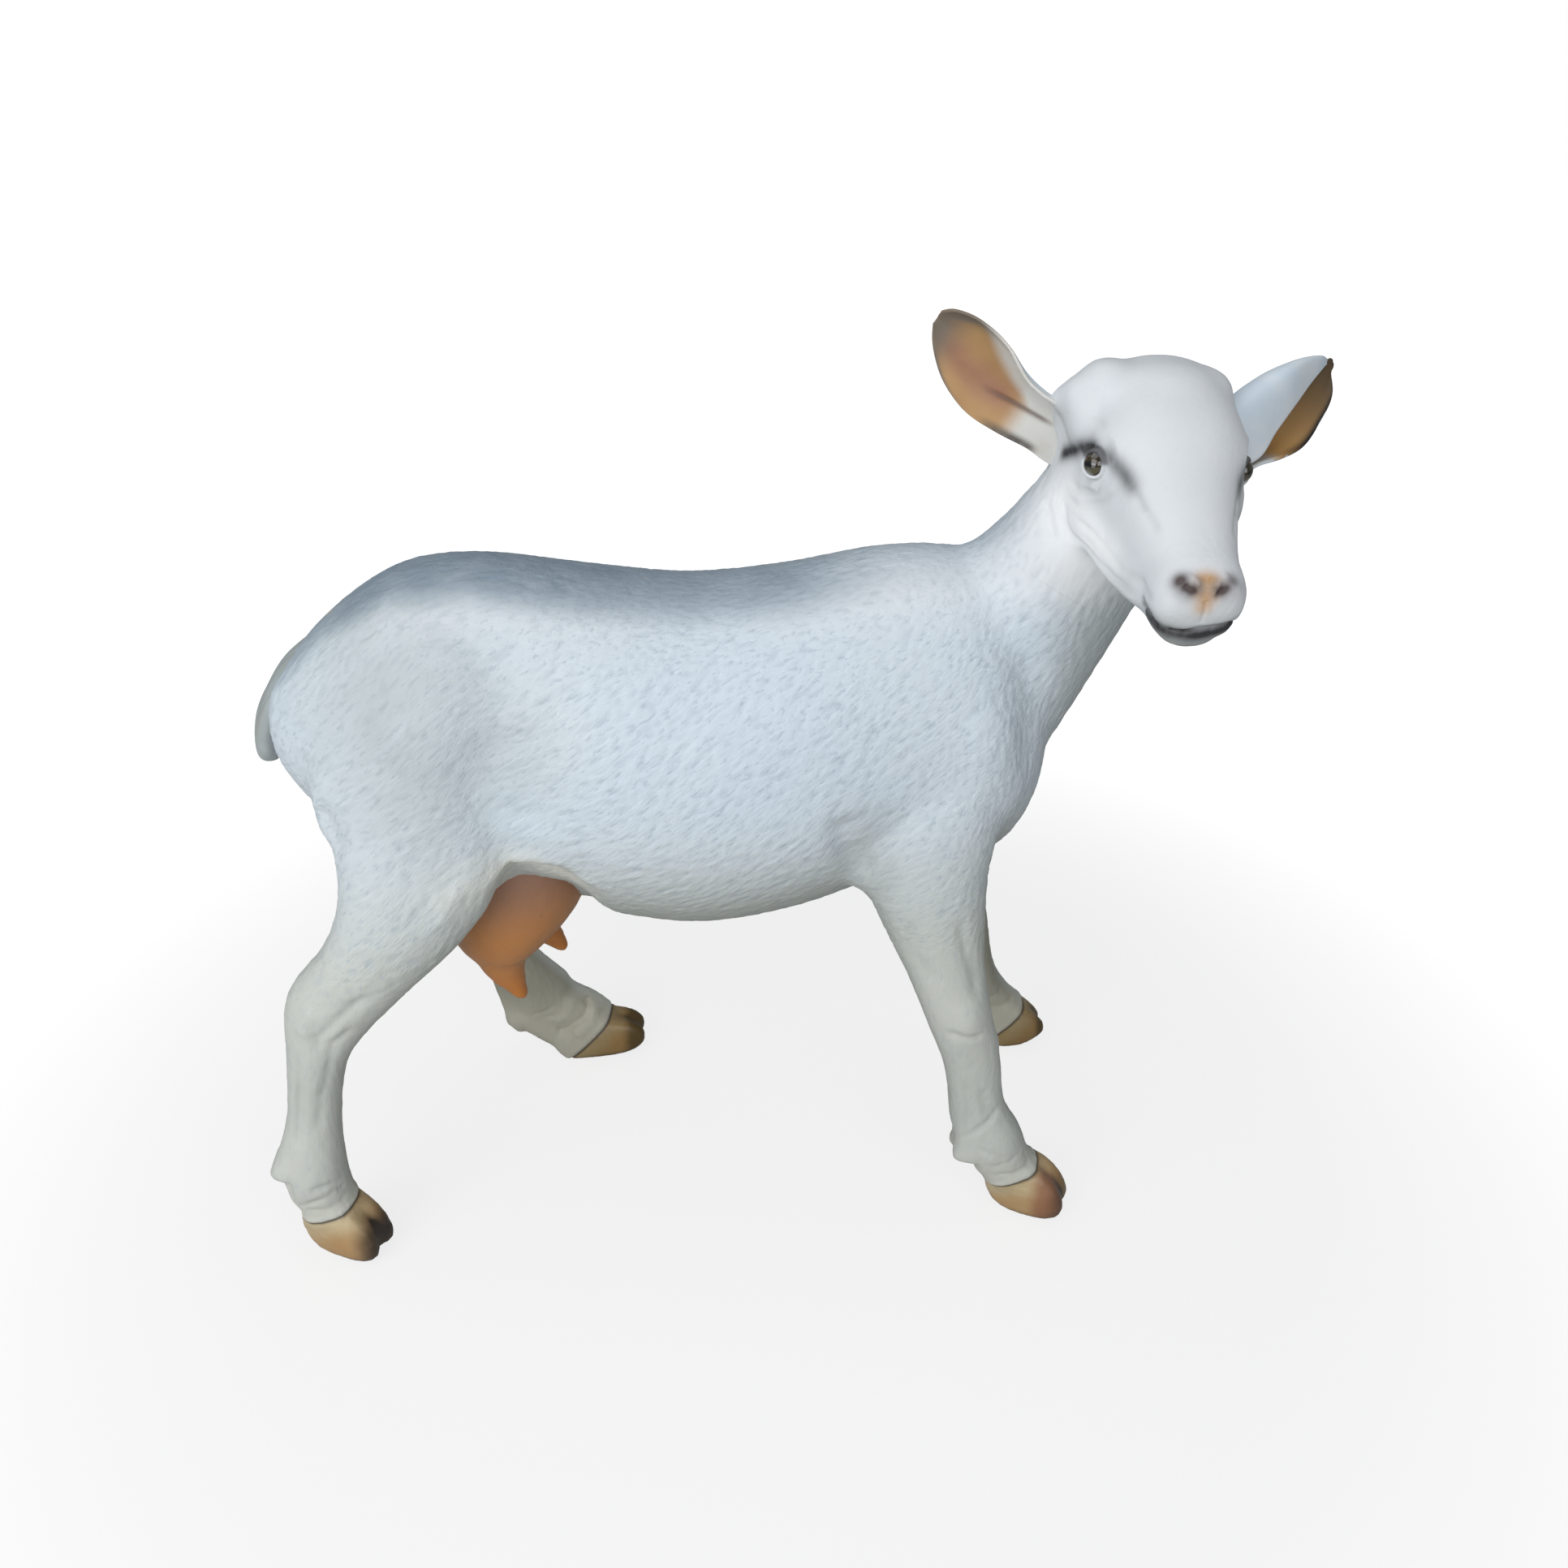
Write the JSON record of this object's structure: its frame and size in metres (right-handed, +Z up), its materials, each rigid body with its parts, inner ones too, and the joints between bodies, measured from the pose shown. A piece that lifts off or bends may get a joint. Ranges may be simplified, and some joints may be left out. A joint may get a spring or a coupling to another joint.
{
  "type": "standing goat statue",
  "caption": "Near life-size standing dairy goat statue looking to its right: painted glass-fibre shells on a steel armature, free-standing or anchored through the hooves.",
  "frame": {"origin": "on the ground, under the middle of the statue's bounding box", "axes": "+X from tail to chest, +Y to the goat's left, +Z up"},
  "size_m": [0.9675, 0.3684, 0.8474],
  "materials": {
    "body_paint": "satin cool white paint over glass-fibre laminate, blue-grey along the back",
    "ear_paint": "satin paint, white backs and orange-tan hollows",
    "udder_paint": "satin brown-orange paint",
    "hoof_paint": "satin paint, tan at the coronet to near black at the toes",
    "eye_glass": "polished dark amber glass",
    "laminate": "bare glass-fibre laminate",
    "steel": "mill finish"
  },
  "bodies": {
    "root": {"trunk_right_shell": "body_paint", "trunk_left_shell": "body_paint", "neck_shell": "body_paint", "head_shell": "body_paint", "tail": "body_paint", "leg_hind_right": "body_paint", "leg_hind_left": "body_paint", "leg_fore_right": "body_paint", "leg_fore_left": "body_paint", "ear_right": "ear_paint", "ear_left": "ear_paint", "udder": "udder_paint", "hoof_hind_right": "hoof_paint", "hoof_hind_left": "hoof_paint", "hoof_fore_right": "hoof_paint", "hoof_fore_left": "hoof_paint", "eye_right": "eye_glass", "eye_left": "eye_glass", "back_seam_tape": "laminate", "belly_seam_tape": "laminate", "rod_hind_right": "steel", "rod_hind_left": "steel", "rod_fore_right": "steel", "rod_fore_left": "steel", "hip_crossbar": "steel", "shoulder_crossbar": "steel", "spine_tube": "steel", "anchor_sleeves": "steel"}
  },
  "joints": []
}
